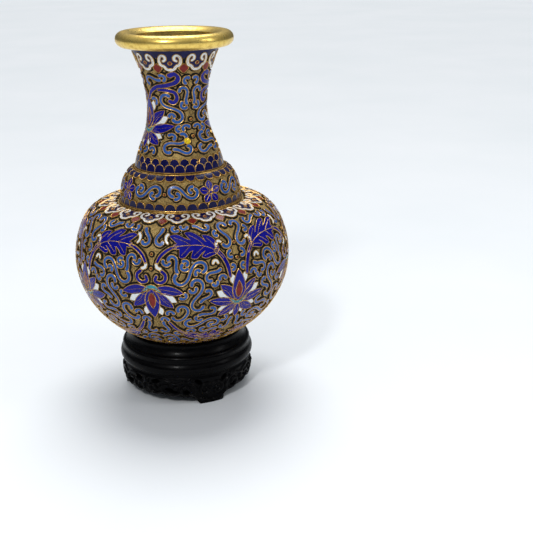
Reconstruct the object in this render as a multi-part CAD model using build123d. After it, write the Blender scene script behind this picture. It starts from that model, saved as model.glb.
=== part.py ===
"""Cloisonne vase on its carved wooden stand, in millimetres, +Z up.

The origin is on the floor at the centre of the stand. The vase is a brazed copper body in
four sections with gilt rings at its mouth, its two seams and its foot. Raised enamel cells
sit on the copper, an enamel coat lines the inside, and the foot drops into the stand's seat.
Angles are measured from the front of the vase (-Y), positive towards +X.
"""

import os
from math import cos, radians, sin

from build123d import *

# Body
WALL = 1.2  # copper sheet
LINING = 0.4  # enamel coat inside
RELIEF = 0.8  # enamel cells stand this far above the copper
MOUTH_Z = 164.4  # top of the neck, where the rim sits
NECK_SEAM_Z = 108.6
SHOULDER_Z = 93.2
EQUATOR_Z = 67.0
BELLY_R = 50.1
PLATE_TOP = 30.0
PLATE_THICK = 1.2
FOOT_BOTTOM = 24.2

# Rings
RIM_IN_R, RIM_ROUND_R, RIM_H = 18.4, 23.4, 6.6
WIRE_R = 0.55
NECK_WIRE_AT = 20.8
SHOULDER_WIRE_AT = 28.5
FOOT_OUT_R, FOOT_IN_R = 25.1, 21.4
BASE_ENAMEL = 0.6
LABEL_L, LABEL_W, LABEL_THICK, LABEL_TURN = 22.0, 10.5, 0.12, 35.0

# Stand
SEAT_R = 25.7
SEAT_Z = 23.9  # a hair below the foot ring
LIP_TOP = 29.3  # just under the belly
STAND_SPLIT = 15.2  # glue line between the turned top and the carved base
BASE_IN_R = 25.0
FOOT_ANGLES = (21, 141, 261)
FOOT_HALF_ANGLE = 14
ARCH_H = 8.0

# Zones of raised enamel, by height
NECK_CLOUDS_FROM = 155.0
NECK_SCALES_TO = 114.6
COLLAR_SCALES_TOP = 108.0
COLLAR_SCALES_FROM = 105.9
COLLAR_SCALES_TO = 97.0
SHOULDER_CLOUDS_FROM = 91.0
FOOT_SCALES_TO = 34.4

TINY = 1e-4


def point(r, z):
    return Vector(r, 0, z)


def arcs(start, heading, *ends):
    """A smooth profile from start through the ends: each arc leaves the way the last one arrived."""
    edges, at, along = [], point(*start), point(*heading)
    for end in ends:
        edges.append(TangentArc(at, point(*end), tangent=along))
        at, along = edges[-1] @ 1, edges[-1] % 1
    return edges


def parallel(profile, depth):
    """The profile moved sideways: depth is towards its right-hand side, which is the inside."""
    moved = []
    for edge in profile:
        first, last = (edge @ t + Vector((edge % t).Z, 0, -(edge % t).X) * depth for t in (0, 1))
        straight = (edge % 0).get_angle(edge % 1) < 0.01
        moved.append(Line(first, last) if straight else TangentArc(first, last, tangent=edge % 0))
    return moved


def height_at(edge, z):
    """How far along a falling edge it meets height z, from 0, above, to 1, below."""
    low, high = 0.0, 1.0
    for _ in range(50):
        middle = (low + high) / 2
        low, high = (middle, high) if (edge @ middle).Z > z else (low, middle)
    return low


def stretch(profile, top, bottom):
    """The part of a falling profile between two heights."""
    kept = []
    for edge in profile:
        flat = abs((edge @ 0).Z - (edge @ 1).Z) < TINY
        start = 0 if flat else height_at(edge, top)
        end = 1 if flat else height_at(edge, bottom)
        if end - start > TINY:
            kept.append(edge if end - start > 1 - TINY else edge.trim(start, end))
    return kept


def skin(profile, outer, inner, top, bottom):
    """The turned wall between two depths inside a profile, cut level at two heights."""
    front, back = (stretch(parallel(profile, depth), top, bottom) for depth in (outer, inner))
    ends = [Line(front[0] @ 0, back[0] @ 0), Line(front[-1] @ 1, back[-1] @ 1)]
    return revolve(Face(Wire(front + back + ends)), Axis.Z)


def radius_at(profile, depth, z):
    """The radius of a profile's parallel where it ends at height z."""
    return (stretch(parallel(profile, depth), 2 * MOUTH_Z, z)[-1] @ 1).X


def turned(*edges):
    """The solid turned about Z from a chain of profile edges, closed by a straight line."""
    start, end = edges[0] @ 0, edges[-1] @ 1
    closed = list(edges) + ([] if (start - end).length < 1e-6 else [Line(end, start)])
    return revolve(Face(Wire(closed)), Axis.Z)


def save(name, *solids):
    """One node: one STEP of separate solids."""
    pieces = [s for shape in solids for s in shape.solids()]
    export_step(pieces[0] if len(pieces) == 1 else Compound(children=pieces), f"parts/{name}.step")


def slab(z0, z1, r_out, r_in=0):
    """A flat ring or disc between two heights."""
    corners = [point(r_in, z0), point(r_out, z0), point(r_out, z1), point(r_in, z1)]
    return revolve(Face(Wire(Polyline(*corners, close=True).edges())), Axis.Z)


# ---- Ground profiles of the copper, from the top down: each lower section starts as a flange ----

COLLAR_STEP_R, SHOULDER_STEP_R = 21.6, 29.4
neck = arcs((19.6, MOUTH_Z), (-0.48, -1), (15.3, 153.1), (13.0, 138.9), (16.3, 121.4), (20.2, NECK_SEAM_Z))
neck_in_r = radius_at(neck, WALL, NECK_SEAM_Z)
collar_arcs = arcs((COLLAR_STEP_R, NECK_SEAM_Z), (1, 0), (23.2, 107.9), (26.4, 102.3), (27.9, SHOULDER_Z))
collar = [Line(point(neck_in_r, NECK_SEAM_Z), point(COLLAR_STEP_R, NECK_SEAM_Z))] + collar_arcs
collar_in_r = radius_at(collar, WALL, SHOULDER_Z)
belly_top_arcs = arcs((SHOULDER_STEP_R, SHOULDER_Z), (1, 0), (37.6, 91.8), (45.8, 84.6), (BELLY_R, EQUATOR_Z))
belly_top = [Line(point(collar_in_r, SHOULDER_Z), point(SHOULDER_STEP_R, SHOULDER_Z))] + belly_top_arcs
belly_low = arcs((BELLY_R, EQUATOR_Z), (0, -1), (48.5, 56.4), (38.6, 39.7), (20.6, 28.0))

# ---- Copper body, in four brazed sections ----

neck_shell = skin(neck, 0, WALL, MOUTH_Z, NECK_SEAM_Z)
collar_shell = skin(collar, 0, WALL, NECK_SEAM_Z, SHOULDER_Z)
belly_upper = skin(belly_top, 0, WALL, SHOULDER_Z, EQUATOR_Z)
belly_lower = skin(belly_low, 0, WALL, EQUATOR_Z, PLATE_TOP)
base_plate = slab(PLATE_TOP - PLATE_THICK, PLATE_TOP, FOOT_OUT_R)

# ---- Enamel coat inside, in the same sections ----

neck_lining = skin(neck, WALL, WALL + LINING, MOUTH_Z, NECK_SEAM_Z)
collar_lining = skin(collar, WALL, WALL + LINING, NECK_SEAM_Z, SHOULDER_Z)
belly_top_lining = skin(belly_top, WALL, WALL + LINING, SHOULDER_Z, EQUATOR_Z)
belly_low_lining = skin(belly_low, WALL, WALL + LINING, EQUATOR_Z, PLATE_TOP)

# ---- Gilt rings ----

rim_bottom, rim_top = MOUTH_Z, MOUTH_Z + RIM_H
mouth_rim = turned(
    Line(point(RIM_IN_R, rim_bottom), point(RIM_ROUND_R, rim_bottom)),
    ThreePointArc(
        point(RIM_ROUND_R, rim_bottom),
        point(RIM_ROUND_R + RIM_H / 2, rim_bottom + RIM_H / 2),
        point(RIM_ROUND_R, rim_top),
    ),
    ThreePointArc(point(RIM_ROUND_R, rim_top), point(21.4, rim_top - 0.3), point(RIM_IN_R, rim_top - 2)),
)
neck_wire = Pos(0, 0, NECK_SEAM_Z + WIRE_R) * Torus(NECK_WIRE_AT, WIRE_R)
shoulder_wire = Pos(0, 0, SHOULDER_Z + WIRE_R) * Torus(SHOULDER_WIRE_AT, WIRE_R)

FOOT_TOP = PLATE_TOP - PLATE_THICK
foot_section = Polyline(
    point(FOOT_IN_R, FOOT_TOP), point(FOOT_OUT_R, FOOT_TOP), point(FOOT_OUT_R - 0.5, FOOT_BOTTOM + 0.9),
    point(FOOT_OUT_R - 0.9, FOOT_BOTTOM), point(FOOT_IN_R + 1.9, FOOT_BOTTOM),
    point(FOOT_IN_R + 1.6, FOOT_BOTTOM + 0.5), point(FOOT_IN_R + 0.9, FOOT_BOTTOM + 0.5),
    point(FOOT_IN_R, FOOT_BOTTOM + 1.3), close=True,
)
foot_ring = revolve(Face(Wire(foot_section.edges())), Axis.Z)
base_enamel = slab(FOOT_TOP - BASE_ENAMEL, FOOT_TOP, FOOT_IN_R)
label_face = FOOT_TOP - BASE_ENAMEL
base_label = Pos(0, 0, label_face - LABEL_THICK) * Rot(0, 0, LABEL_TURN) * extrude(
    Ellipse(LABEL_L / 2, LABEL_W / 2), LABEL_THICK
)

# ---- Raised enamel: one skin over the copper for each zone of the pattern ----


def relief(profile, top, bottom):
    return skin(profile, -RELIEF, 0, top, bottom)


NECK_WIRE_TOP, SHOULDER_WIRE_TOP = NECK_SEAM_Z + 2 * WIRE_R + 0.1, SHOULDER_Z + 2 * WIRE_R + 0.1
neck_clouds = relief(neck, MOUTH_Z, NECK_CLOUDS_FROM)
neck_scrolls = relief(neck, NECK_CLOUDS_FROM, NECK_SCALES_TO)
neck_scales = relief(neck, NECK_SCALES_TO, NECK_WIRE_TOP)
collar_upper_scales = relief(collar_arcs, COLLAR_SCALES_TOP, COLLAR_SCALES_FROM)
collar_scrolls = relief(collar_arcs, COLLAR_SCALES_FROM, COLLAR_SCALES_TO)
collar_lower_scales = relief(collar_arcs, COLLAR_SCALES_TO, SHOULDER_WIRE_TOP)
shoulder_clouds = relief(belly_top_arcs, SHOULDER_Z + RELIEF, SHOULDER_CLOUDS_FROM)
belly_upper_pattern = relief(belly_top_arcs, SHOULDER_CLOUDS_FROM, EQUATOR_Z)
belly_lower_pattern = relief(belly_low, EQUATOR_Z, FOOT_SCALES_TO)
foot_scales = relief(belly_low, FOOT_SCALES_TO, PLATE_TOP)

# ---- Stand: turned top and carved base ----

stand_top = turned(
    Line(point(0, STAND_SPLIT), point(0, SEAT_Z)),
    Line(point(0, SEAT_Z), point(SEAT_R, SEAT_Z)),
    Line(point(SEAT_R, SEAT_Z), point(SEAT_R, LIP_TOP - 0.9)),
    ThreePointArc(point(SEAT_R, LIP_TOP - 0.9), point(26.6, LIP_TOP), point(27.7, 28.4)),
    ThreePointArc(point(27.7, 28.4), point(28.5, 25.9), point(29.6, 24.5)),
    ThreePointArc(point(29.6, 24.5), point(30.8, 23.8), point(31.2, 22.5)),
    ThreePointArc(point(31.2, 22.5), point(31.1, 21.2), point(31.5, 20.3)),
    ThreePointArc(point(31.5, 20.3), point(32.4, 18.2), point(31.9, 15.9)),
    Line(point(31.9, 15.9), point(30.9, STAND_SPLIT)),
)
stand_ring = turned(
    Line(point(BASE_IN_R, 0), point(BASE_IN_R, STAND_SPLIT)),
    Line(point(BASE_IN_R, STAND_SPLIT), point(30.9, STAND_SPLIT)),
    Line(point(30.9, STAND_SPLIT), point(30.9, 14.2)),
    ThreePointArc(point(30.9, 14.2), point(31.8, 10.4), point(30.6, 5.0)),
    ThreePointArc(point(30.6, 5.0), point(29.3, 2.4), point(30.2, 0)),
)
SPAN_HALF = 60 - FOOT_HALF_ANGLE
arch_w = BASE_IN_R * sin(radians(SPAN_HALF))
arch = make_face(
    [
        Line((-arch_w, -1), (arch_w, -1)),
        Line((arch_w, -1), (arch_w, 1.5)),
        ThreePointArc((arch_w, 1.5), (arch_w - 2.0, 4.4), (arch_w - 5.4, 4.6)),
        ThreePointArc((arch_w - 5.4, 4.6), (arch_w - 7.4, 7.2), (arch_w - 10.5, ARCH_H)),
        Line((arch_w - 10.5, ARCH_H), (10.5 - arch_w, ARCH_H)),
        ThreePointArc((10.5 - arch_w, ARCH_H), (7.4 - arch_w, 7.2), (5.4 - arch_w, 4.6)),
        ThreePointArc((5.4 - arch_w, 4.6), (2.0 - arch_w, 4.4), (-arch_w, 1.5)),
        Line((-arch_w, 1.5), (-arch_w, -1)),
    ]
)


def radial_cut(front_angle, outline, reach=20.0):
    """An outline in a vertical plane pushed outwards from near the axis."""
    turn = radians(front_angle - 90)
    out = Vector(cos(turn), sin(turn), 0)
    plane = Plane(origin=out * (BASE_IN_R - 9), x_dir=Vector(-sin(turn), cos(turn), 0), z_dir=out)
    return extrude(plane * outline, reach + 4)


LENS = make_face([
    ThreePointArc((-3, 0), (0, 1.3), (3, 0)),
    ThreePointArc((3, 0), (0, -1.3), (-3, 0)),
])
stand_base = stand_ring
for foot in FOOT_ANGLES:
    stand_base -= radial_cut(foot + 60, arch)
    for side in (-1, 1):
        stand_base -= radial_cut(foot + side * 38, Pos(0, 10.6) * Rot(0, 0, side * 12) * LENS)

os.makedirs("parts", exist_ok=True)
save("mouth_rim", mouth_rim)
save("neck_shell", neck_shell)
save("neck_wire_ring", neck_wire)
save("collar_shell", collar_shell)
save("shoulder_wire_ring", shoulder_wire)
save("belly_upper_shell", belly_upper)
save("belly_lower_shell", belly_lower)
save("base_plate", base_plate)
save("foot_ring", foot_ring)
save("base_enamel", base_enamel)
save("base_label", base_label)
save("neck_lining", neck_lining)
save("collar_lining", collar_lining)
save("belly_upper_lining", belly_top_lining)
save("belly_lower_lining", belly_low_lining)
save("neck_cloud_band", neck_clouds)
save("neck_scroll_relief", neck_scrolls)
save("neck_scale_band", neck_scales)
save("collar_upper_scale_band", collar_upper_scales)
save("collar_scroll_relief", collar_scrolls)
save("collar_lower_scale_band", collar_lower_scales)
save("shoulder_cloud_band", shoulder_clouds)
save("belly_upper_relief", belly_upper_pattern)
save("belly_lower_relief", belly_lower_pattern)
save("foot_scale_band", foot_scales)
save("stand_top", stand_top)
save("stand_base", stand_base)
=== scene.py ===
"""Cloisonne vase on its carved stand: the visual model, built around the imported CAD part.

Lengths inside the helpers are millimetres and become metres when a piece is made. Angles go
round the vase from its front (-Y), positive towards +X. A motif is drawn flat, x to the right
and y up the wall, then laid on the surface of the vase.
"""

import math
import random

import bpy
import numpy as np
from mathutils import Matrix, Vector, geometry
from mathutils.bvhtree import BVHTree


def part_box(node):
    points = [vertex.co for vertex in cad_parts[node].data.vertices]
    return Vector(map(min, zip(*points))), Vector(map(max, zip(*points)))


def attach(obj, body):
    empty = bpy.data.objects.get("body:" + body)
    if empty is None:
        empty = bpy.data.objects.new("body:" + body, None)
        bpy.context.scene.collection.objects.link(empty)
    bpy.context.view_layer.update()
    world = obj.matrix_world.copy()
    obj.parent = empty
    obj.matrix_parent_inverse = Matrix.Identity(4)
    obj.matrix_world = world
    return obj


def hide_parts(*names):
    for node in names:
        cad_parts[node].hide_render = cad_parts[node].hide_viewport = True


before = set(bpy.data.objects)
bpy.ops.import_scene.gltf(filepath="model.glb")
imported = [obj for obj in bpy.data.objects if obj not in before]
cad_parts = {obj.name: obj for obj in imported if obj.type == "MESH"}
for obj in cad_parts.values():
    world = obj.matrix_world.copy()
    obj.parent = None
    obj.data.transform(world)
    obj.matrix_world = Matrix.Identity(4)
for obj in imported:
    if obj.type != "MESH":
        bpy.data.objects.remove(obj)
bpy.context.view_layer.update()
MM = 0.001
FAR = 0.2  # metres: further out than any part of the vase

RELIEF = 0.8  # enamel stands this far above the ground
WIRE = 0.36  # width of the gilt wire around a cell
GAP = 0.3  # ground left free around a cell
FOOT = 0.72  # width of the dark strip along the foot of a wire: patina, and painted shade where the wall shades the ground


# ---------------------------------------------------------------- materials


def new_material(name, **sockets):
    material = bpy.data.materials.new(name)
    material.use_nodes = True
    shader = material.node_tree.nodes["Principled BSDF"]
    for key, value in sockets.items():
        shader.inputs[key.replace("_", " ")].default_value = value
    return material, material.node_tree, shader


def noise(tree, scale, detail=3.0, roughness=0.55):
    """Noise in object space, scale in features per metre."""
    coords = tree.nodes.new("ShaderNodeTexCoord")
    node = tree.nodes.new("ShaderNodeTexNoise")
    node.inputs["Scale"].default_value = scale
    node.inputs["Detail"].default_value = detail
    node.inputs["Roughness"].default_value = roughness
    tree.links.new(coords.outputs["Object"], node.inputs["Vector"])
    return node.outputs["Fac"]


def ramp(tree, value, stops):
    node = tree.nodes.new("ShaderNodeValToRGB")
    elements = node.color_ramp.elements
    while len(elements) < len(stops):
        elements.new(0.5)
    for element, (position, colour) in zip(elements, stops):
        element.position = position
        element.color = (*colour, 1)
    tree.links.new(value, node.inputs["Fac"])
    return node.outputs["Color"]


def bump(tree, shader, height, strength, distance):
    node = tree.nodes.new("ShaderNodeBump")
    node.inputs["Strength"].default_value = strength
    node.inputs["Distance"].default_value = distance
    tree.links.new(height, node.inputs["Height"])
    tree.links.new(node.outputs["Normal"], shader.inputs["Normal"])


def map_range(tree, value, low, high, to_low, to_high):
    node = tree.nodes.new("ShaderNodeMapRange")
    for key, number in zip(("From Min", "From Max", "To Min", "To Max"), (low, high, to_low, to_high)):
        node.inputs[key].default_value = number
    tree.links.new(value, node.inputs["Value"])
    return node.outputs["Result"]


def linear(red, green, blue):
    """A display colour from 0 to 255 as the linear colour that shaders take."""
    return tuple(
        c / 12.92 if c <= 0.04045 else ((c + 0.055) / 1.055) ** 2.4
        for c in (red / 255, green / 255, blue / 255)
    )


def enamel(name, colour, spread=0.25, rough=0.16):
    """Polished glass enamel: slightly uneven colour, fine pits and a clear gloss."""
    material, tree, shader = new_material(
        name, Specular_IOR_Level=0.15, Coat_Weight=0.07, Coat_Roughness=0.04
    )
    dark = tuple(c * (1 - spread) for c in colour)
    light = tuple(min(1, c * (1 + spread) + 0.01 * spread) for c in colour)
    tree.links.new(ramp(tree, noise(tree, 420), [(0.3, dark), (0.7, light)]), shader.inputs["Base Color"])
    fine = noise(tree, 2600, 2)
    tree.links.new(map_range(tree, fine, 0.3, 0.7, rough, rough + 0.14), shader.inputs["Roughness"])
    bump(tree, shader, fine, 0.12, 0.00012)
    return material


def gold(name, light, dark, rough, worn=0.5, grain=900, depth=0.1):
    """Gilded metal whose gilding dulls in patches."""
    material, tree, shader = new_material(name, Metallic=0.92)
    patches = noise(tree, grain, 4, 0.65)
    tree.links.new(
        ramp(tree, patches, [(worn - 0.16, dark), (worn + 0.1, light)]), shader.inputs["Base Color"]
    )
    tree.links.new(map_range(tree, patches, 0.3, 0.7, rough + 0.16, rough), shader.inputs["Roughness"])
    bump(tree, shader, noise(tree, grain * 2.2, 3), depth, 0.0002)
    return material


COBALT = enamel("cobalt_enamel", linear(10, 12, 128))
BLUE = enamel("light_blue_enamel", linear(46, 88, 156), 0.25)
NAVY = enamel("navy_enamel", linear(9, 10, 66), 0.3)
WHITE = enamel("white_enamel", linear(226, 230, 232), 0.05)
RED = enamel("red_enamel", linear(116, 30, 24), 0.3)
TURQUOISE = enamel("turquoise_enamel", linear(54, 140, 158))
YELLOW = enamel("yellow_enamel", linear(220, 190, 30))
LINING = enamel("lining_enamel", linear(40, 72, 140), 0.3, 0.3)
BASE_BLUE = enamel("base_enamel", linear(18, 40, 132), 0.2, 0.22)
PAPER = enamel("label_paper", linear(222, 214, 184), 0.08, 0.7)
WIRE_GOLD = gold("wire_gilt", linear(206, 166, 92), linear(138, 100, 44), 0.3)
RIM_GOLD = gold("rim_gilt", linear(236, 204, 110), linear(198, 160, 72), 0.24, 0.42, 500, 0.05)
# near-black strip at the foot of the wires: the patina in the hollows, made darker and wider as painted shade
# cast by the wire walls
PATINA_AND_SHADE = enamel("patina", linear(14, 11, 8), 0.4, 0.6)


def ground_material():
    """Matt gilded ground between the cells: grainy, with dark brown left in the hollows."""
    material, tree, shader = new_material("ground_gilt", Metallic=0.35)
    grain = noise(tree, 1500, 5, 0.7)
    shade = tree.nodes.new("ShaderNodeMix")
    shade.inputs["Factor"].default_value = 0.3
    tree.links.new(grain, shade.inputs["A"])
    tree.links.new(noise(tree, 130, 2), shade.inputs["B"])
    tree.links.new(
        ramp(
            tree, shade.outputs["Result"],
            [(0.33, linear(46, 34, 17)), (0.46, linear(138, 112, 60)), (0.68, linear(204, 172, 102))],
        ),
        shader.inputs["Base Color"],
    )
    tree.links.new(map_range(tree, grain, 0.3, 0.7, 0.7, 0.42), shader.inputs["Roughness"])
    bump(tree, shader, grain, 0.7, 0.0005)
    return material


def wood_material():
    """Black lacquered hardwood: fine grain under an uneven gloss."""
    material, tree, shader = new_material(
        "black_lacquer", Specular_IOR_Level=0.05, Coat_Weight=0.02, Coat_Roughness=0.1
    )
    coords = tree.nodes.new("ShaderNodeTexCoord")
    stretch = tree.nodes.new("ShaderNodeMapping")
    stretch.inputs["Scale"].default_value = (1, 1, 5)
    wood_grain = tree.nodes.new("ShaderNodeTexNoise")
    wood_grain.inputs["Scale"].default_value = 260
    wood_grain.inputs["Detail"].default_value = 6
    tree.links.new(coords.outputs["Object"], stretch.inputs["Vector"])
    tree.links.new(stretch.outputs["Vector"], wood_grain.inputs["Vector"])
    value = wood_grain.outputs["Fac"]
    tree.links.new(
        ramp(tree, value, [(0.35, linear(2, 2, 3)), (0.7, linear(7, 6, 7))]), shader.inputs["Base Color"]
    )
    tree.links.new(map_range(tree, value, 0.3, 0.7, 0.22, 0.42), shader.inputs["Roughness"])
    bump(tree, shader, value, 0.18, 0.0003)
    return material


GROUND = ground_material()
WOOD = wood_material()


# ---------------------------------------------------------------- surface of the vase


class Wall:
    """The outside of a turned CAD shell, measured from its mesh.

    s is the distance down the wall from its top edge. Rays come in towards a centre in the
    (radius, height) half plane, over directions from the top one down to the bottom one."""

    def __init__(self, nodes, centre, top, bottom, steps=260):
        trees = [
            BVHTree.FromPolygons([v.co for v in m.vertices], [list(p.vertices) for p in m.polygons])
            for m in (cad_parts[n].data for n in nodes)
        ]
        first = math.atan2(top[1] - centre[1], top[0] - centre[0])
        last = math.atan2(bottom[1] - centre[1], bottom[0] - centre[0])
        found = []
        for angle in np.linspace(first, last, steps):
            reach = 0.0
            for turn in np.linspace(0.05, 6.1, 14):
                out = Vector((math.cos(turn), math.sin(turn), 0))
                heading = out * math.cos(angle) + Vector((0, 0, math.sin(angle)))
                middle = out * centre[0] * MM + Vector((0, 0, centre[1] * MM))
                for tree in trees:
                    hit = tree.ray_cast(middle + heading * FAR, -heading, FAR)[0]
                    if hit is not None:
                        reach = max(reach, (hit - middle).length / MM)
            if reach:
                found.append((centre[0] + reach * math.cos(angle), centre[1] + reach * math.sin(angle)))
        line = np.array(found)
        for _ in range(3):
            line[1:-1] = (line[:-2] + 2 * line[1:-1] + line[2:]) / 4
        self.r, self.z = line[:, 0], line[:, 1]
        gaps = np.hypot(np.diff(self.r), np.diff(self.z))
        self.s = np.concatenate([[0], np.cumsum(gaps)])
        along = np.gradient(line, self.s, axis=0)
        along /= np.linalg.norm(along, axis=1, keepdims=True)
        self.nr, self.nz = -along[:, 1], along[:, 0]
        self.length = self.s[-1]

    def radius(self, s):
        return np.interp(s, self.s, self.r)

    def at_height(self, z):
        """The distance down the wall at a height."""
        return float(np.interp(-z, -self.z, self.s))

    def place(self, angle, s, h):
        """Points in metres at these angles, distances down the wall and heights off it."""
        r = np.interp(s, self.s, self.r) + np.interp(s, self.s, self.nr) * h
        z = np.interp(s, self.s, self.z) + np.interp(s, self.s, self.nz) * h
        turn = np.radians(angle)
        return np.stack([r * np.sin(turn), -r * np.cos(turn), z], axis=1) * MM

    def lay(self, flat, angle, s):
        """Flat motif points (x, y, h) laid around a spot."""
        down = s - flat[:, 1]
        return self.place(angle + np.degrees(flat[:, 0] / self.radius(down)), down, flat[:, 2])


def node_span(*nodes):
    """Top and bottom heights of some CAD nodes, in mm."""
    boxes = [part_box(n) for n in nodes]
    return max(b[1].z for b in boxes) / MM, min(b[0].z for b in boxes) / MM


NECK_TOP, NECK_BOTTOM = node_span("neck_shell")
COLLAR_TOP, COLLAR_BOTTOM = node_span("collar_shell")
BELLY_TOP, BELLY_BOTTOM = node_span("belly_upper_shell", "belly_lower_shell")
neck = Wall(["neck_shell"], (-60, 137), (19.6, NECK_TOP - 0.05), (20.2, NECK_BOTTOM + 0.05))
collar = Wall(["collar_shell"], (16, 95), (20.4, COLLAR_TOP - 0.05), (28.3, COLLAR_BOTTOM + 0.05))
belly = Wall(
    ["belly_upper_shell", "belly_lower_shell"],
    (22, 66), (28.9, BELLY_TOP - 0.05), (25.2, BELLY_BOTTOM + 0.05),
)


# ---------------------------------------------------------------- pieces


class Piece:
    """A mesh gathered from many small parts."""

    def __init__(self, name, material, body="vase"):
        self.name, self.material, self.body = name, material, body
        self.points, self.faces, self.count = [], [], 0

    def add(self, points, faces):
        self.points.append(np.asarray(points, float))
        offset = self.count
        self.faces.extend([tuple(i + offset for i in f) for f in faces])
        self.count += len(points)

    def make(self, replaces=(), slot=None):
        mesh = bpy.data.meshes.new(self.name)
        mesh.from_pydata(np.concatenate(self.points).tolist(), [], self.faces)
        mesh.validate()
        mesh.shade_smooth()
        mesh.set_sharp_from_angle(angle=math.radians(38))
        mesh.materials.append(self.material)
        piece = bpy.data.objects.new(self.name, mesh)
        bpy.context.scene.collection.objects.link(piece)
        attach(piece, self.body)
        if replaces:
            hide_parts(*replaces)
        return piece


pieces = {}


def piece(name, material):
    if name not in pieces:
        pieces[name] = Piece(name, material)
    return pieces[name]


def lathe(name, material, profile, around=256, **made):
    """A turned piece from (radius, height) points in mm."""
    profile = np.asarray(profile, float)
    turns = np.linspace(0, 2 * math.pi, around, endpoint=False)
    rings = len(profile)
    r, z = profile[:, 0][:, None], profile[:, 1][:, None]
    points = np.stack([r * np.sin(turns), -r * np.cos(turns), z + 0 * turns], axis=2).reshape(-1, 3) * MM
    faces = []
    for i in range(rings):
        a, b = i * around, ((i + 1) % rings) * around
        for j in range(around):
            k = (j + 1) % around
            faces.append((a + j, b + j, b + k, a + k))
    ring = Piece(name, material)
    ring.add(points, faces)
    return ring.make(**made)


# ---------------------------------------------------------------- flat shapes


def turned(points, degrees):
    """Flat points turned about their origin."""
    a = math.radians(degrees)
    p = np.asarray(points, float)
    return p @ np.array([[math.cos(a), math.sin(a)], [-math.sin(a), math.cos(a)]])


def disc(radius, x=0.0, y=0.0, count=14):
    t = np.linspace(0, 2 * math.pi, count, endpoint=False)
    return np.stack([x + radius * np.cos(t), y + radius * np.sin(t)], axis=1)


def petal(length, width, start=0.0, widest=0.5, bend=0.0, blunt=0.8, count=9):
    """A petal along +y from start: where it is widest, how far its tip bends aside, how round it is."""
    t = np.linspace(0, 1, count)
    half = width / 2 * np.sin(math.pi * t ** (math.log(0.5) / math.log(widest))) ** blunt
    y, lean = start + length * t, bend * t**2
    right = np.stack([lean + half, y], axis=1)
    left = np.stack([lean - half, y], axis=1)[-2:0:-1]
    return np.concatenate([right, left])


def stroke(heading, runs, step=0.5):
    """A curved line from the origin: a first heading, then runs of (length, turn in degrees), eased."""
    lengths, turns = np.array(runs, float).T
    total = lengths.sum()
    count = max(8, int(total / step))
    at = (np.arange(count) + 0.5) * total / count
    rate = np.interp(at, np.cumsum(lengths) - lengths / 2, turns / lengths)
    angle = np.radians(heading + np.cumsum(rate) * total / count)
    steps = np.stack([np.cos(angle), np.sin(angle)], axis=1) * total / count
    return np.concatenate([[(0, 0)], np.cumsum(steps, axis=0)])


def sides(line, half):
    """Points half to the left and right of a line."""
    along = np.gradient(line, axis=0)
    along /= np.linalg.norm(along, axis=1, keepdims=True)
    normal = np.stack([-along[:, 1], along[:, 0]], axis=1)
    half = np.asarray(half, float).reshape(-1, 1) if np.ndim(half) else half
    return line + normal * half, line - normal * half, along


def area(outline):
    x, y = outline[:, 0], outline[:, 1]
    return 0.5 * float(np.sum(x * np.roll(y, -1) - np.roll(x, -1) * y))


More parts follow.
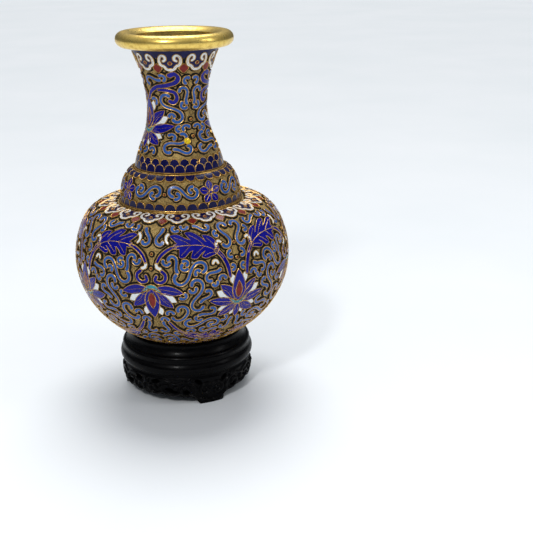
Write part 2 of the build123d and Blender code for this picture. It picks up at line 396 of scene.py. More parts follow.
class Motif:
    """Flat parts (piece key, points (x, y, h), faces) and the outlines that keep others away."""

    def __init__(self):
        self.parts, self.outlines = [], []

    def fill(self, colour, outline, h=RELIEF, grid=1.6):
        """Enamel inside an outline."""
        if area(outline) < 0:
            outline = outline[::-1]
        low, high = outline.min(0), outline.max(0)
        inner = []
        if min(high - low) > 2.2 * grid:
            xs, ys = np.arange(low[0] + grid, high[0], grid), np.arange(low[1] + grid, high[1], grid)
            inner = [(x, y) for x in xs for y in ys if inside(outline, x, y)]
        rim = [Vector(p) for p in outline]
        count = len(rim)
        edges = [(i, (i + 1) % count) for i in range(count)]
        corners = rim + [Vector(p) for p in inner]
        made = geometry.delaunay_2d_cdt(corners, edges, [list(range(count))], 1, 1e-5)
        flat = np.array([(p.x, p.y, h) for p in made[0]])
        self.parts.append((colour, flat, [tuple(f) for f in made[2]]))

    def wire(self, outline, closed=True, h=RELIEF, width=WIRE, foot=False):
        """A gilt wall around an outline, with a dark strip along its foot: patina and painted shade."""
        if closed and area(outline) < 0:
            outline = outline[::-1]
        count = len(outline)
        nxt, prv = np.roll(outline, -1, 0), np.roll(outline, 1, 0)
        along = nxt - prv
        if not closed:
            along[0], along[-1] = outline[1] - outline[0], outline[-1] - outline[-2]
        along /= np.maximum(np.linalg.norm(along, axis=1, keepdims=True), 1e-9)
        out = np.stack([along[:, 1], -along[:, 0]], axis=1)
        section = [(0.5, -0.25), (0.5, h - 0.03), (0.0, h + 0.1), (-0.5, h + 0.01)]
        if not closed:
            section = [(0.5, h - 0.02), (0.0, h + 0.1), (-0.5, h - 0.02)]
        rows = [np.column_stack([outline + out * width * k, np.full(count, z)]) for k, z in section]
        faces = []
        for row in range(len(rows) - 1):
            for i in range(count if closed else count - 1):
                j = (i + 1) % count
                faces.append((row * count + i, row * count + j, (row + 1) * count + j, (row + 1) * count + i))
        self.parts.append(("wire", np.concatenate(rows), faces))
        if foot:
            # a dark strip on the ground along the wall: patina and painted shade
            skirt = [(0.5 * width + FOOT, 0.02), (0.5 * width, 0.3)]
            rows = [np.column_stack([outline + out * k, np.full(count, z)]) for k, z in skirt]
            self.parts.append(("patina", np.concatenate(rows), faces[:count]))

    def cell(self, colour, outline, h=RELIEF, width=WIRE, foot=True):
        """One enamel cell with its wire wall."""
        outline = np.asarray(outline, float)
        self.fill(colour, outline, h)
        self.wire(outline, True, h, width, foot)
        self.outlines.append(outline)
        return self

    def vein(self, line, h=RELIEF + 0.02, width=0.24):
        self.wire(np.asarray(line, float), False, h, width)
        return self

    def ribbon(self, colour, line, width, taper=None):
        """An enamel ribbon along a line with round ends and a wire on each edge."""
        half = np.full(len(line), width / 2)
        if taper is not None:
            half = half * np.interp(np.linspace(0, 1, len(line)), np.linspace(0, 1, len(taper)), taper)
        left, right, along = sides(line, half)
        caps = []
        for end, sign in ((-1, 1), (0, -1)):
            side = np.array([-along[end][1], along[end][0]]) * sign
            ahead = along[end] * sign
            t = np.radians([60, 30, 0, -30, -60])[:, None]
            caps.append(line[end] + (side * np.sin(t) + ahead * np.cos(t)) * half[end])
        outline = np.concatenate([left, caps[0], right[::-1], caps[1]])
        n = len(line)
        first, second = n, n + 5 + n
        points = np.column_stack([outline, np.full(len(outline), RELIEF)])
        faces = [(second - 1 - i, second - 2 - i, i + 1, i) for i in range(n - 1)]
        faces.append(tuple(range(n - 1, first + 6)))
        faces.append(tuple([*range(second - 1, second + 5), 0]))
        self.parts.append((colour, points, faces))
        self.wire(outline, foot=True)
        self.outlines.append(outline)
        return self


def inside(outline, x, y):
    """True where the points lie in the outline, for numbers or arrays."""
    hit = np.zeros(np.shape(x), bool)
    x1, y1 = outline[-1]
    for x2, y2 in outline:
        if y1 != y2:
            crosses = ((y1 > y) != (y2 > y)) & (x < (x2 - x1) * (y - y1) / (y2 - y1) + x1)
            hit ^= crosses
        x1, y1 = x2, y2
    return hit


COLOURS = {
    "cobalt": COBALT, "blue": BLUE, "navy": NAVY, "white": WHITE, "red": RED,
    "turquoise": TURQUOISE, "yellow": YELLOW, "wire": WIRE_GOLD, "patina": PATINA_AND_SHADE,
}


class Field:
    """A wall being decorated in mirrored units: which ground cells have taken, and where cells go.

    The ground is noted for one unit, period degrees wide, between one mirror axis and the next."""

    step = 0.3  # mm between the spots where the ground is noted
    margin = 0.2  # degrees left free beside each mirror axis

    def __init__(self, wall, name, period):
        self.wall, self.name, self.period = wall, name, period
        self.columns = int(round(period / math.degrees(self.step / float(wall.r.max()))))
        self.degree = period / self.columns
        self.taken = np.zeros((self.columns, int(wall.length / self.step) + 1), bool)

    def put(self, motif, angle, s, group, mirror=False):
        """Lays a motif on the wall."""
        for colour, flat, faces in motif.parts:
            shared = colour in ("wire", "patina") and group != "scrolls"
            group_name = "pattern" if shared else group
            if mirror:
                flat = flat * (-1, 1, 1)
                faces = [f[::-1] for f in faces]
            key = f"{self.name}_{group_name}_{colour}"
            piece(key, COLOURS[colour]).add(self.wall.lay(flat, angle, s), faces)

    def mark(self, motif, angle, s, mirror=False):
        for outline in motif.outlines:
            flat = outline * (-1, 1) if mirror else outline
            down = s - flat[:, 1]
            turn = angle + np.degrees(flat[:, 0] / self.wall.radius(down))
            self.mark_polygon(turn, down)

    def mark_polygon(self, turn, down):
        a, b = turn / self.degree, down / self.step
        grid_a, grid_b = np.meshgrid(
            np.arange(math.floor(a.min()) - 1, math.ceil(a.max()) + 2),
            np.arange(max(0, math.floor(b.min()) - 1), min(self.taken.shape[1], math.ceil(b.max()) + 2)),
            indexing="ij",
        )
        hit = inside(np.column_stack([a, b]), grid_a, grid_b)
        hit &= (grid_a >= 0) & (grid_a < self.columns)
        self.taken[grid_a[hit], grid_b[hit]] = True

    def band(self, colour, low, high, h):
        """A plain ring of enamel between two distances down the wall."""
        turn = np.linspace(0, 360, 180, endpoint=False)
        rows = np.linspace(low, high, 4)
        points = np.concatenate([self.wall.place(turn, np.full(180, s), np.full(180, h)) for s in rows])
        faces = [
            (row * 180 + (i + 1) % 180, row * 180 + i, (row + 1) * 180 + i, (row + 1) * 180 + (i + 1) % 180)
            for row in range(3) for i in range(180)
        ]
        piece(f"{self.name}_heads_{colour}", COLOURS[colour]).add(points, faces)

    def mark_rows(self, low, high):
        self.taken[:, int(low / self.step) : int(high / self.step) + 1] = True

    def taken_at(self, points, angle, s):
        """Which flat points around a spot fall on taken ground or leave the field."""
        down = s - points[:, 1]
        rows = np.round(down / self.step).astype(int)
        turn = angle + np.degrees(points[:, 0] / self.wall.radius(down))
        out = (rows < 1) | (rows >= self.taken.shape[1] - 1)
        out |= (turn < self.margin) | (turn > self.period - self.margin)
        columns = np.round(turn / self.degree).astype(int) % self.columns
        return out | self.taken[columns, np.clip(rows, 0, self.taken.shape[1] - 1)]

    def is_free(self, line, half, angle, s):
        """True if a ribbon along a flat line fits with its gap."""
        ends = ((line[0], line[1]), (line[-1], line[-2]))
        past = [a + (a - b) / math.dist(a, b) * (half + GAP) for a, b in ends]
        if self.taken_at(np.concatenate([line[::5], past]), angle, s).any():
            return False
        return not any(
            self.taken_at(points, angle, s).any()
            for offset in (half * 0.6, half + GAP)
            for points in sides(line, offset)[:2]
        )

    def contact(self, line, reach, angle, s):
        """How much of the ground at a reach from a line is taken: packed scrolls touch their neighbours."""
        return sum(self.taken_at(points, angle, s).mean() for points in sides(line, reach)[:2])


# ---------------------------------------------------------------- motifs


def smooth_line(points, step=0.6):
    """An even line on a smooth curve through a few points."""
    p = np.asarray(points, float)
    p = np.concatenate([[2 * p[0] - p[1]], p, [2 * p[-1] - p[-2]]])
    out = []
    for i in range(1, len(p) - 2):
        a, b, c, d = p[i - 1 : i + 3]
        for t in np.linspace(0, 1, 12, endpoint=False):
            square, cube = 2 * a - 5 * b + 4 * c - d, 3 * b - a - 3 * c + d
            out.append(0.5 * (2 * b + (c - a) * t + square * t**2 + cube * t**3))
    out.append(p[-2])
    out = np.array(out)
    run = np.concatenate([[0], np.cumsum(np.hypot(*np.diff(out, axis=0).T))])
    count = max(4, int(run[-1] / step) + 1)
    even = np.linspace(0, run[-1], count)
    return np.stack([np.interp(even, run, out[:, 0]), np.interp(even, run, out[:, 1])], axis=1)


def ruyi(breadth):
    """A hanging cloud head: white trefoil border with curled ends, navy inside, red eye."""
    half = [(0, -8.7), (1.9, -8.2), (3.0, -6.9), (4.6, -6.3), (5.5, -4.6), (5.2, -2.5), (3.9, -1.5),
            (2.5, -2.1), (2.3, -3.5), (3.2, -4.2)]
    half = [(breadth * x, y) for x, y in half]
    line = [(-x, y) for x, y in reversed(half[1:])] + half
    m = Motif()
    field = smooth_line([(-x, y) for x, y in reversed(half[1:7])] + half[:7], 0.7)
    m.cell("navy", field, RELIEF - 0.06)
    m.ribbon("white", smooth_line(line, 0.5), 1.3)
    m.cell("red", disc(0.85, 0, -5.4, 10), RELIEF + 0.03)
    m.outlines.append(np.array([(-6, 0.5), (-6, -5), (-2.5, -9), (2.5, -9), (6, -5), (6, 0.5)]))
    return m


def pendant():
    """The red point that hangs between two cloud heads."""
    m = Motif()
    m.cell("red", smooth_line([(0, -5.6), (1.3, -6.5), (2.2, -7.8), (1.2, -9.2), (0, -10.2), (-1.2, -9.2),
                               (-2.2, -7.8), (-1.3, -6.5), (-0.2, -5.7)], 0.8), RELIEF - 0.03)
    return m


def scale_cell(width, pitch, flat_foot=False):
    """A fish scale: rounded top, and a foot that fits between the two scales below it."""
    x = np.linspace(-0.5, 0.5, 11)
    top = np.stack([x * width, pitch * np.sqrt(np.maximum(0, 1 - 4 * x**2))], axis=1)
    if flat_foot:
        foot = np.array([(width / 2, -pitch * 0.45), (-width / 2, -pitch * 0.45)])
    else:
        low = -pitch + pitch * np.sqrt(np.maximum(0, 1 - (2 * (np.abs(x) - 0.5)) ** 2))
        foot = np.stack([x * width, low], axis=1)[::-1][1:-1]
    m = Motif()
    m.cell("navy", np.concatenate([top, foot]), RELIEF, 0.34, False)
    return m


def lotus(full):
    """A lotus with its tip up: red eye in a cobalt drop, cobalt petals with a gold line, white between.

    Rows of petals are (degrees from the tip, colour, length, width, start, bend)."""
    rows = [
        (15, "white", 6.2, 3.2, 7.8, 0.0), (23, "white", 5.0, 2.2, 3.4, 0.0),
        (37, "cobalt", 11.8, 4.6, 1.2, 1.6), (59, "white", 8.6, 4.0, 4.0, 0.0),
        (61, "white", 3.4, 2.3, 2.0, 0.0), (86, "cobalt", 13.0, 4.4, 1.2, -1.4),
    ]
    if full:
        rows += [
            (110, "white", 8.0, 3.6, 2.2, 0.0), (134, "cobalt", 9.8, 4.4, 1.2, -1.4),
            (157, "white", 6.0, 2.7, 2.0, 0.0),
        ]
    m = Motif()
    for turn, colour, length, width, start, bend in rows:
        lift = RELIEF - (0.06 if colour == "white" else 0)
        for side in (-1, 1):
            pointed = (0.56, -side * bend, 1.0) if colour == "white" else (0.5, -side * bend, 0.8)
            shape = petal(length, width, start, *pointed)
            m.cell(colour, turned(shape, side * turn), lift, 0.32)
            if colour == "cobalt":
                t = np.linspace(0.08, 0.86, 7)
                rib = np.stack([-side * bend * t**2, start + length * t], axis=1)
                m.vein(turned(rib, side * turn), width=0.18)
    if full:
        m.cell("cobalt", turned(petal(8.2, 3.2, 1.0, 0.5), 180), RELIEF, 0.32)
    m.cell("cobalt", petal(15.0, 6.6, 0.2, 0.4, count=13), RELIEF + 0.05)
    m.cell("red", petal(8.0, 3.3, 1.9, 0.42), RELIEF + 0.11, 0.3)
    crescent = smooth_line([(-3.5, 1.3), (-1.9, -0.2), (0, -0.8), (1.9, -0.2), (3.5, 1.3)])
    m.ribbon("turquoise", crescent, 1.7, (0.5, 1, 1.1, 1, 0.5))
    return m


def upside_down(m):
    """The same motif turned half round."""
    other = Motif()
    other.parts = [(c, p * (-1, -1, 1), f) for c, p, f in m.parts]
    other.outlines = [o * (-1, -1) for o in m.outlines]
    return other


def leaf(path, body, reach, stem=1.9, lobes=3):
    """A stem along a path that opens, between two shares of its length, into a leaf with lobed edges."""
    line = smooth_line(path, 0.5)
    left = sides(line, 1.0)[0]
    run = np.linspace(0, 1, len(line))

    def place(spots, side=1):
        """Spots (share of the leaf's length, distance from its rib) on the path."""
        t = body[0] + (body[1] - body[0]) * np.array([a for a, _ in spots])
        off = side * np.array([w for _, w in spots])[:, None]
        on = np.column_stack([np.interp(t, run, line[:, k]) for k in (0, 1)])
        out = np.column_stack([np.interp(t, run, (left - line)[:, k]) for k in (0, 1)])
        return on + out * off

    m = Motif()
    root = int(len(line) * body[0])
    m.ribbon("cobalt", line[: root + 3], stem, (0.8, 1, 1, 1.1))
    if body[1] < 0.9:
        m.ribbon("cobalt", line[int(len(line) * body[1]) - 4 :], stem * 0.72, (0.8, 1, 1, 0.9))
    edges, veins = [], []
    for side in (1, -1):
        edge, width = [], stem / 2
        for k in range(lobes):
            a, d = 0.86 * k / lobes, 0.86 / lobes
            half = reach * (0.62 + 0.38 * math.sin(math.pi * (k + 0.8) / (lobes + 0.6)))
            notch = half * 0.4 if k < lobes - 1 else half * 0.24
            spots = [
                (a, width), (a + 0.3 * d, half * 0.62), (a + 0.75 * d, half),
                (a + 1.22 * d, half * 0.98), (a + 1.2 * d, half * 0.74), (a + d, notch),
            ]
            edge += list(smooth_line(place(spots, side), 0.5)[:-1])
            veins.append(place([(a + 0.02, 0), (a + 0.5 * d, half * 0.4), (a + 1.0 * d, half * 0.78)], side))
            width = notch
        edge += list(smooth_line(place([(0.86, width), (0.93, width * 0.9), (1, 0)], side), 0.5)[:-1])
        edges.append(edge)
    outline = np.array(edges[0] + [place([(1, 0)])[0]] + edges[1][:0:-1])
    m.cell("cobalt", outline, RELIEF, 0.26)
    for vein in veins:
        m.vein(smooth_line(vein, 0.7), RELIEF + 0.01, 0.2)
    m.vein(place([(a, 0) for a in np.linspace(-0.6 * body[0], 0.95, 18)]), RELIEF + 0.03, 0.26)
    return m


def curl(points, colour, width, taper=(1, 1, 1)):
    """A ribbon on a smooth line through a few points."""
    m = Motif()
    m.ribbon(colour, smooth_line(points, 0.45), width, taper)
    return m


def dot():
    m = Motif()
    m.cell("red", disc(0.62, count=10), RELIEF, 0.34)
    return m


def blossom():
    """Five pointed cobalt petals with a gold line each, round a small eye."""
    m = Motif()
    for k in range(5):
        m.cell("cobalt", turned(petal(4.6, 3.5, 0.8, 0.52), 72 * k), RELIEF, 0.32)
        m.vein(turned([(0, 1.4), (0, 3.0), (0, 4.3)], 72 * k))
    m.cell("cobalt", disc(0.75, count=10), RELIEF + 0.05, 0.34)
    return m


# ---------------------------------------------------------------- laying out the pattern

rng = random.Random(7)
ROUND = 360.0


def repeat(field, motif, angles, s, group):
    for angle in angles:
        field.put(motif, angle, s, group)


def every(count, first=0.0):
    return [first + ROUND * k / count for k in range(count)]


def scale_rows(field, s_first, rows, count, pitch, downward=False):
    """Rows of scales; the first row's foot is at s_first, and the next rows lie towards the tips."""
    sign = 1 if downward else -1
    for row in range(rows):
        s = s_first + sign * pitch * (row + 0.45)
        cell = scale_cell(2 * math.pi * float(field.wall.radius(s)) / count, pitch, row == 0)
        half_step = (row % 2) * ROUND / count / 2
        repeat(field, upside_down(cell) if downward else cell, every(count, half_step), s, "scales")
    reach = s_first + sign * pitch * (rows + 0.7)
    field.mark_rows(min(s_first, reach), max(s_first, reach))


# Shapes of a scroll as runs of (length, turn in degrees)
SHAPES = {
    "swan": [(1.6, 60), (7.6, 185), (2.6, 0), (6.6, -170), (1.5, -50)],
    "ess": [(1.5, 60), (5.6, 160), (2.0, 0), (5.6, -160), (1.5, -60)],
    "cee": [(1.6, 60), (6.6, 180), (4.4, 20), (3.6, 110)],
    "hook": [(1.5, 65), (6.2, 175), (2.6, -40)],
    "comma": [(1.2, 60), (3.6, 120)],
}
SCROLL = 1.45  # width of a scroll's ribbon
CLEAR = 0.86  # half the width that a scroll keeps to itself, its wires included
REACH = 1.7  # how far to the side a scroll looks for neighbours
TRIES = 30  # places tried for each scroll


def fill_scrolls(field, s_span, sizes, copies):
    """Packs light blue scrolls into the free ground, big ones first, each close to its neighbours."""
    for names, size, count in sizes:
        for _ in range(count):
            best = None
            for _ in range(TRIES):
                bend = rng.choice((-1, 1))
                heading = rng.uniform(0, 360)
                runs = [(size * length, bend * turn) for length, turn in SHAPES[rng.choice(names)]]
                line = stroke(heading, runs)
                line -= line.mean(0)
                angle, s = rng.uniform(0, field.period), rng.uniform(*s_span)
                if field.is_free(line, CLEAR, angle, s):
                    touch = field.contact(line, REACH, angle, s)
                    if best is None or touch > best[0]:
                        best = (touch, line, angle, s)
            if best:
                _, line, angle, s = best
                m = Motif()
                m.ribbon("blue", line, SCROLL, (1.2, 1, 0.95, 1, 1.2))
                field.mark(m, angle, s)
                for turn, mirror in copies:
                    field.put(m, turn + (-angle if mirror else angle), s, "scrolls", mirror)


def on_wall(wall, at, s, places):
    """Flat points, measured from the spot (at, s), of (angle, height) places on a wall."""
    down = [wall.at_height(z) for _, z in places]
    return [
        (math.radians(angle - at) * float(wall.radius(d)), s - d) for (angle, _), d in zip(places, down)
    ]


def set_out(field, m, unit_at, at, s, group, turns):
    """Lays a motif on both sides of the axis at one end of a mirrored unit, all round the vase."""
    for turn in turns:
        for mirror in (False, True):
            field.put(m, at + turn, s, group, mirror)
    for mirror in (False, True):
        field.mark(m, at - unit_at, s, mirror)


# Places round the vase, in degrees
NECK_LOTUS_AT, NECK_TURNS = -64.5, (0, 180)
BLOSSOM_AT = 29.5
INVERTED_AT, UPRIGHT_AT = -16.5, 28.5
QUARTERS = [90 * k for k in range(4)]
CLOUD_BAND = 10.6  # how far down a wall its cloud heads and pendants reach

# Middle lines of the leaves on the belly, as (degrees from a lotus, height)
UPPER_LEAF = [(23.6, 69.5), (22.6, 74.5), (19.8, 79.2), (15.6, 82), (10, 83.6), (4, 84), (-2, 83.8),
              (-7, 82.8), (-11.4, 80.2), (-13.6, 77.2)]
LOWER_LEAF = [(-9, 48.5), (-5.5, 44.5), (0, 41.2), (7, 39), (14, 38.4), (20, 39.4), (24, 42)]


def decorate_neck():
    """Cloud heads at the top, two lotuses under curls, dots between them, and one yellow cell."""
    field = Field(neck, "neck", 90)
    field.band("navy", 0.0, 3.4, RELIEF - 0.12)
    repeat(field, ruyi(0.84), every(9, -8), 0.6, "heads")
    repeat(field, pendant(), every(9, 12), 0.6, "heads")
    field.mark_rows(0, CLOUD_BAND)
    scale_rows(field, neck.length - 1.3, 2, 27, 2.6)
    bloom = lotus(True)
    s_bloom = neck.at_height(128)
    for turn in NECK_TURNS:
        field.put(bloom, NECK_LOTUS_AT + turn, s_bloom, "lotus")
    field.mark(bloom, 0, s_bloom)
    curls = [
        ([(-60, 142.5), (-52, 145.5), (-36, 147.8), (-16, 148.8), (-2, 150), (3, 152.2), (-3, 154),
          (-11, 153.2)], 2.0),
        ([(-34, 146.6), (-18, 146.4), (-4, 145.4), (0, 142.8), (-6, 140.8), (-13, 141.4)], 1.8),
    ]
    for places, width in curls:
        m = curl(on_wall(neck, NECK_LOTUS_AT, s_bloom, places), "cobalt", width, (0.8, 1, 1, 1.1))
        set_out(field, m, NECK_LOTUS_AT, NECK_LOTUS_AT, s_bloom, "leaves", NECK_TURNS)
    for z in (141.5, 133, 125.5, 119.5, 114):
        s = neck.at_height(z)
        repeat(field, dot(), [NECK_LOTUS_AT + 90 + turn for turn in NECK_TURNS], s, "scrolls")
        field.mark(dot(), 90, s)
    fill_scrolls(
        field, (10, neck.length - 5.5),
        [(("swan", "ess"), 1.2, 150), (("ess", "cee", "hook"), 1.05, 250), (("hook", "ess"), 0.92, 250),
         (("comma",), 0.92, 250), (("comma",), 0.72, 250)],
        [(NECK_LOTUS_AT + turn, flip) for turn in NECK_TURNS for flip in (False, True)],
    )
    splash = Motif()
    splash.cell("yellow", disc(1.5, count=12), RELIEF + 0.04, 0.3)
    field.put(splash, 14, neck.at_height(123.5), "splash")


def decorate_collar():
    """Four blossoms between two rows of scales, with a red dot halfway between them."""
    field = Field(collar, "collar", 45)
    scale_rows(field, collar.length - 1.2, 1, 36, 2.2)
    scale_rows(field, 1.5, 1, 32, 2.0, downward=True)
    flower = blossom()
    middle = collar.length * 0.54
    repeat(field, flower, [BLOSSOM_AT + turn for turn in QUARTERS], middle, "blossoms")
    field.mark(flower, 0, middle)
    repeat(field, dot(), [BLOSSOM_AT + 45 + turn for turn in QUARTERS], middle, "scrolls")
    field.mark(dot(), 45, middle)
    fill_scrolls(
        field, (4, collar.length - 4),
        [(("ess",), 1.3, 150), (("cee",), 1.05, 200), (("hook",), 0.85, 250), (("comma",), 0.85, 200),
         (("comma",), 0.65, 250)],
        [(BLOSSOM_AT + turn, flip) for turn in QUARTERS for flip in (False, True)],
    )


def decorate_belly():
    """An inverted lotus at one end of each mirrored unit, an upright one at the other, and leaves."""
    field = Field(belly, "belly", 45)
    repeat(field, ruyi(0.88), every(18, -3), 0.5, "heads")
    repeat(field, pendant(), every(18, 7), 0.5, "heads")
    field.mark_rows(0, CLOUD_BAND)
    scale_rows(field, belly.length - 0.4, 2, 36, 2.5)
    inverted, upright = upside_down(lotus(False)), lotus(True)
    s_inverted, s_upright = belly.at_height(66), belly.at_height(57)
    for turn in QUARTERS:
        field.put(inverted, INVERTED_AT + turn, s_inverted, "lotus")
        field.put(upright, UPRIGHT_AT + turn, s_upright, "lotus")
    field.mark(inverted, 0, s_inverted)
    field.mark(upright, 45, s_upright)
    leaves = [
        (UPRIGHT_AT, s_upright,
         leaf(on_wall(belly, UPRIGHT_AT, s_upright, UPPER_LEAF), (0.28, 0.76), 5.8)),
        (INVERTED_AT, s_inverted,
         leaf(on_wall(belly, INVERTED_AT, s_inverted, LOWER_LEAF), (0.3, 0.95), 3.5, 1.6)),
    ]
    curls = [
        (INVERTED_AT, "cobalt", 1.6,
         [(-11, 73.6), (-9.2, 72), (-9.6, 69.8), (-12, 68.6), (-14.4, 69.6), (-13.8, 71.3)]),
        (INVERTED_AT, "white", 1.5, [(-13.8, 76.4), (-13.4, 75.2), (-11.8, 74.6)]),
        (UPRIGHT_AT, "white", 1.2, [(17.7, 82.8), (18.1, 84), (19.2, 84.7), (20.5, 84.3)]),
        (UPRIGHT_AT, "white", 1.2, [(17.6, 76), (16.9, 77), (15.6, 77), (14.9, 76)]),
        (UPRIGHT_AT, "white", 1.2, [(-8.2, 85), (-9.1, 86), (-9, 87.3), (-7.9, 88.1)]),
    ]
    for at, s, m in leaves:
        set_out(field, m, INVERTED_AT, at, s, "leaves", QUARTERS)
    for at, colour, width, places in curls:
        s = s_inverted if at == INVERTED_AT else s_upright
        m = curl(on_wall(belly, at, s, places), colour, width)
        set_out(field, m, INVERTED_AT, at, s, "leaves", QUARTERS)
    for z, at in ((80.6, INVERTED_AT), (74.7, INVERTED_AT), (83.3, UPRIGHT_AT), (77, UPRIGHT_AT)):
        s = belly.at_height(z)
        repeat(field, dot(), [at + turn for turn in QUARTERS], s, "scrolls")
        field.mark(dot(), at - INVERTED_AT, s)
    fill_scrolls(
        field, (10, belly.length - 6),
        [(("swan",), 1.3, 150), (("swan", "ess", "cee"), 1.15, 260), (("ess", "hook"), 1.02, 300),
         (("hook",), 0.9, 250), (("comma",), 0.92, 300), (("comma",), 0.72, 300)],
        [(INVERTED_AT + turn, flip) for turn in QUARTERS for flip in (False, True)],
    )


decorate_neck()
decorate_collar()
decorate_belly()

# ---------------------------------------------------------------- ground, rings, lining, base


def shell_profile(wall, thickness=1.0):
    outer = np.stack([wall.r, wall.z], axis=1)
    inner = np.stack([wall.r - wall.nr * thickness, wall.z - wall.nz * thickness], axis=1)
    step = slice(None, None, 2)
    return np.concatenate([outer[step], outer[-1:], inner[::-1][step], inner[:1]])


lathe("neck_ground", GROUND, shell_profile(neck), replaces=["neck_shell"], slot="gilt_ground")
lathe("collar_ground", GROUND, shell_profile(collar), replaces=["collar_shell"], slot="gilt_ground")
lathe("belly_ground", GROUND, shell_profile(belly), replaces=["belly_upper_shell", "belly_lower_shell"],
      slot="gilt_ground")

CAD_LOOKS = {
    "neck_wire_ring": WIRE_GOLD, "shoulder_wire_ring": WIRE_GOLD, "mouth_rim": RIM_GOLD,
    "foot_ring": RIM_GOLD, "base_plate": WIRE_GOLD, "base_enamel": BASE_BLUE, "base_label": PAPER,
    "neck_lining": LINING, "collar_lining": LINING, "belly_upper_lining": LINING,
    "belly_lower_lining": LINING, "stand_top": WOOD,
}
for node, material in CAD_LOOKS.items():
    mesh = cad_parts[node].data
    mesh.materials.clear()
    mesh.materials.append(material)

STANDS_FOR = {
    "neck_heads_navy": ["neck_cloud_band"], "neck_scrolls_blue": ["neck_scroll_relief"],
    "neck_scales_navy": ["neck_scale_band"], "collar_scrolls_blue": ["collar_scroll_relief"],
    "collar_scales_navy": ["collar_upper_scale_band", "collar_lower_scale_band"],
    "belly_heads_navy": ["shoulder_cloud_band"],
    "belly_scrolls_blue": ["belly_upper_relief", "belly_lower_relief"],
    "belly_scales_navy": ["foot_scale_band"],
}
SLOTS = {"wire": "gilt", "cobalt": "cobalt_enamel", "blue": "cobalt_enamel", "navy": "navy_enamel"}
for name, gathered in pieces.items():
    gathered.make(STANDS_FOR.get(name, ()), SLOTS.get(name.split("_")[-1]))

# ---------------------------------------------------------------- carved base of the stand

FEET = (21, 141, 261)
# Carving on the apron in mm from a foot's middle and height, the same on both sides of it: ridges as
# (points, half width, height), knobs as (x, y, size, height), pits as (x, y, width, height, tilt)
CURLS = [
    ([(0, 9.4), (2.6, 10.6), (5, 9.4), (5.4, 6.6), (3.4, 5), (1.4, 6), (2.4, 7.6)], 0.75, 0.9),
    ([(1.5, 1.0), (4.5, 1.6), (7.4, 3.2), (8.4, 5.6), (7.6, 7.8), (9.5, 10.6), (13.5, 12.2)], 0.8, 0.8),
    ([(9.0, 4.6), (12.0, 4.4), (14.6, 6.2), (14.2, 8.8), (12.0, 9.4), (11.0, 7.6)], 0.75, 0.9),
    ([(15.0, 6.0), (18.5, 5.0), (22.0, 5.4), (24.4, 7.4), (23.6, 9.8), (21.4, 10.0)], 0.75, 0.8),
    ([(14.0, 11.8), (18.0, 10.8), (21.0, 12.0), (25.0, 12.6), (28.0, 11.2)], 0.7, 0.7),
    ([(24.6, 6.4), (27.6, 5.2), (30.4, 6.2), (30.8, 8.8), (28.6, 9.8), (27.2, 8.0)], 0.75, 0.9),
]
KNOBS = [(17.6, 8.4, 1.5, 1.2), (10.4, 12.4, 1.0, 0.9), (26.0, 10.2, 1.1, 0.8), (32.5, 11.4, 1.5, 1.2)]
PITS = [
    (12.2, 6.6, 1.3, 0.9, 0), (19.6, 7.4, 2.6, 0.9, 12),
    (27.4, 11.6, 1.9, 0.7, -10), (6.6, 11.6, 1.5, 0.8, 30),
]
PIT_DEPTH = 4.2  # deep enough to look pierced, but short of the bore
INNER, THINNEST = 25.1, 25.9  # radius of the bore, and the least radius left outside it
APRON_R = 31  # radius at which the carving is measured


def carved_base():
    """The apron and its three scroll feet, carved from the ring that the turned top is glued to."""
    bottom, top = (corner.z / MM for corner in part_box("stand_base"))
    around, up = 800, 50
    turn = np.linspace(0, 360, around, endpoint=False)
    offset = (turn[:, None] - np.array(FEET) + 180) % 360 - 180
    across = np.abs(offset).min(1) * math.radians(APRON_R)  # mm from the nearest foot's middle
    edge = np.interp(
        across, [0, 5.4, 6.4, 7.6, 9.4, 11, 14, 16, 19, 22, 25, 28, 30.5, 32.5],
        [0, 0, 0.4, 2.2, 3.0, 4.2, 3.4, 4.4, 3.9, 4.0, 5.0, 4.2, 4.6, 3.8],
    ) + bottom
    share = np.linspace(0, 1, up) ** 0.9
    z = edge[:, None] + (top - edge)[:, None] * share
    u = np.repeat(across[:, None], up, 1)
    radius = np.interp(
        z, [0, 1.2, 2.6, 5, 8, 10.5, 13, 14.2, 15.2], [30.6, 29.9, 29.5, 30.2, 31.0, 31.2, 30.9, 30.3, 30.3]
    )
    carving = np.zeros_like(z)
    for points, half, height in CURLS:
        line = smooth_line(points, 0.4)
        near = np.min(np.hypot(u[..., None] - line[:, 0], z[..., None] - line[:, 1]), axis=2)
        carving = np.maximum(carving, height * np.sqrt(np.clip(1 - (near / half) ** 2, 0, 1)))
    for x, y, size, height in KNOBS:
        near = np.hypot(u - x, z - y) / size
        carving = np.maximum(carving, height * np.sqrt(np.clip(1 - near**2, 0, 1)))
    for x, y, wide, tall, tilt in PITS:
        a = math.radians(tilt)
        du, dz = u - x, z - y
        along = (du * math.cos(a) + dz * math.sin(a)) / wide
        near = np.hypot(along, (dz * math.cos(a) - du * math.sin(a)) / tall)
        carving -= PIT_DEPTH * np.clip(1.25 - near, 0, 0.5) * 2
    carving *= np.clip((top - z) / 0.8, 0, 1)
    outer = radius + np.maximum(carving, THINNEST - radius)
    inner = np.full_like(z, INNER)
    rings = np.concatenate([outer, inner[:, ::-1]], axis=1)
    heights = np.concatenate([z, z[:, ::-1]], axis=1)
    angle = np.radians(turn)[:, None]
    points = np.stack([rings * np.sin(angle), -rings * np.cos(angle), heights], axis=2).reshape(-1, 3) * MM
    loop = 2 * up
    faces = [
        (i * loop + j, ((i + 1) % around) * loop + j, ((i + 1) % around) * loop + (j + 1) % loop,
         i * loop + (j + 1) % loop)
        for i in range(around) for j in range(loop)
    ]
    base = Piece("stand_carving", WOOD, "stand")
    base.add(points, faces)
    return base.make(replaces=["stand_base"], slot="black_wood")


carved_base()

# ---------------------------------------------------------------- floor, lights, camera

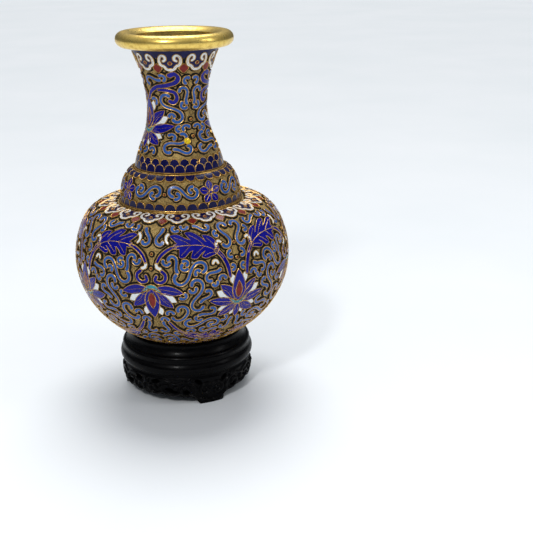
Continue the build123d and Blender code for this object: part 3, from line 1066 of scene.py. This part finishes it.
EYE = Vector((0, -0.4608, 0.2148))
PITCH, YAW, ROLL = math.radians(18.8), math.radians(5.0), math.radians(-0.68)
SENSOR, LENS = 36, 67.54


def lay_floor():
    """A nearly white table top."""
    material, tree, shader = new_material("floor_paint", Roughness=0.55)
    tree.links.new(
        ramp(tree, noise(tree, 6), [(0.3, (0.78, 0.81, 0.83)), (0.7, (0.82, 0.84, 0.86))]),
        shader.inputs["Base Color"],
    )
    bpy.ops.mesh.primitive_plane_add(size=6)
    floor = bpy.context.object
    floor.name = "floor"
    floor.data.materials.append(material)


def light_room():
    """Surroundings that are grey at the horizon and bright overhead."""
    world = bpy.data.worlds.new("studio")
    bpy.context.scene.world = world
    world.use_nodes = True
    tree = world.node_tree
    background = tree.nodes["Background"]
    background.inputs["Strength"].default_value = 0.25
    coords = tree.nodes.new("ShaderNodeTexCoord")
    split = tree.nodes.new("ShaderNodeSeparateXYZ")
    tree.links.new(coords.outputs["Generated"], split.inputs["Vector"])
    heights = [(0.0, (0.30, 0.34, 0.40)), (0.35, (0.55, 0.60, 0.66)), (0.8, (2.2, 2.3, 2.4))]
    tree.links.new(ramp(tree, split.outputs["Z"], heights), background.inputs["Color"])


def hang(name, light, aim):
    """Puts a lamp in the scene, pointing along a direction."""
    lamp = bpy.data.objects.new(name, light)
    bpy.context.scene.collection.objects.link(lamp)
    lamp.rotation_euler = aim.to_track_quat("-Z", "Y").to_euler()
    return lamp


def area_light(name, place, target, width, height, power):
    """A rectangle of light turned to a target."""
    light = bpy.data.lights.new(name, "AREA")
    light.shape, light.size, light.size_y, light.energy = "RECTANGLE", width, height, power
    hang(name, light, Vector(target) - Vector(place)).location = place


def sun_light(name, aim, spread, power):
    """Light from far away, soft over an angle in degrees."""
    light = bpy.data.lights.new(name, "SUN")
    light.energy, light.angle = power, math.radians(spread)
    hang(name, light, Vector(aim))


def set_camera():
    camera = bpy.data.cameras.new("camera")
    camera.sensor_width, camera.lens = SENSOR, LENS
    eye = bpy.data.objects.new("camera", camera)
    bpy.context.scene.collection.objects.link(eye)
    level = Vector((math.sin(YAW), math.cos(YAW), 0))
    ahead = level * math.cos(PITCH) - Vector((0, 0, math.sin(PITCH)))
    right = Vector((math.cos(YAW), -math.sin(YAW), 0))
    above = right.cross(ahead)
    x_axis = math.cos(ROLL) * right + math.sin(ROLL) * above
    y_axis = -math.sin(ROLL) * right + math.cos(ROLL) * above
    turn = Matrix((x_axis, y_axis, -ahead)).transposed().to_4x4()
    eye.matrix_world = Matrix.Translation(EYE) @ turn
    bpy.context.scene.camera = eye


bpy.context.scene.view_settings.view_transform = "Standard"
lay_floor()
light_room()
area_light("window", (-0.28, -0.70, 0.72), (0, 0, 0.1), 0.1, 0.14, 3.2)
sun_light("overhead", (-0.04, -0.5, -1), 42, 2.1)
area_light("side", (0.7, -0.25, 0.5), (0, 0, 0.09), 0.2, 0.4, 0.9)
set_camera()
